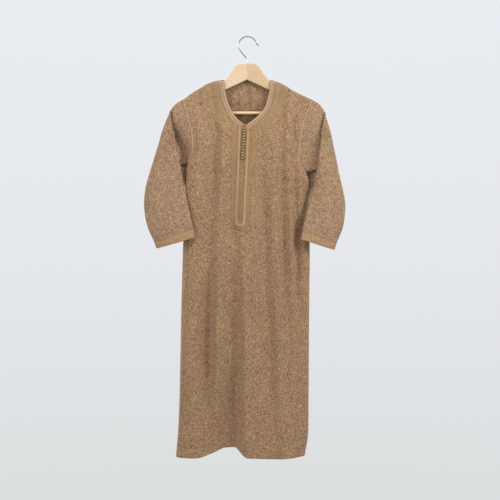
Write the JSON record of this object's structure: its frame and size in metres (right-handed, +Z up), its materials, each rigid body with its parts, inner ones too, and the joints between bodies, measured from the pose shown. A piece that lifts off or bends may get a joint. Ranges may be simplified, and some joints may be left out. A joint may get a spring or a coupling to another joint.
{
  "type": "kaftan on a hanger",
  "caption": "Long speckled-wool kaftan with straight sleeves, braided neck, front placket and small knotted buttons, hanging from a wooden hanger.",
  "frame": {"origin": "the point inside the top of the hook where the hook bears on a rail", "axes": "+Z up, -Y is the way the front of the garment faces, +X is to the right of someone who looks at the front"},
  "size_m": [0.609, 0.0758, 1.2798],
  "materials": {
    "cloth": "speckled woven wool, matt with a slight nap",
    "band": "smooth close-woven band with rows of stitching, matt",
    "braid": "narrow flat braid, soft sheen",
    "button": "knotted silk cord",
    "wood": "pale beech, satin lacquer",
    "steel": "bright wire"
  },
  "bodies": {
    "root": {"front": "cloth", "back": "cloth", "sleeve_left": "cloth", "sleeve_right": "cloth", "cuff_left": "band", "cuff_right": "band", "neck_braid_left": "braid", "neck_braid_right": "braid", "neck_braid_back": "braid", "neck_band_left": "band", "neck_band_right": "band", "neck_band_back": "band", "placket": "band", "placket_braid": "braid", "button_01": "button", "button_02": "button", "button_03": "button", "button_04": "button", "button_05": "button", "button_06": "button", "button_07": "button", "button_08": "button", "button_09": "button", "button_10": "button", "button_11": "button", "button_12": "button", "button_13": "button", "hanger_arm_left": "wood", "hanger_arm_right": "wood", "hanger_bar": "wood", "hanger_hook": "steel"}
  },
  "joints": []
}
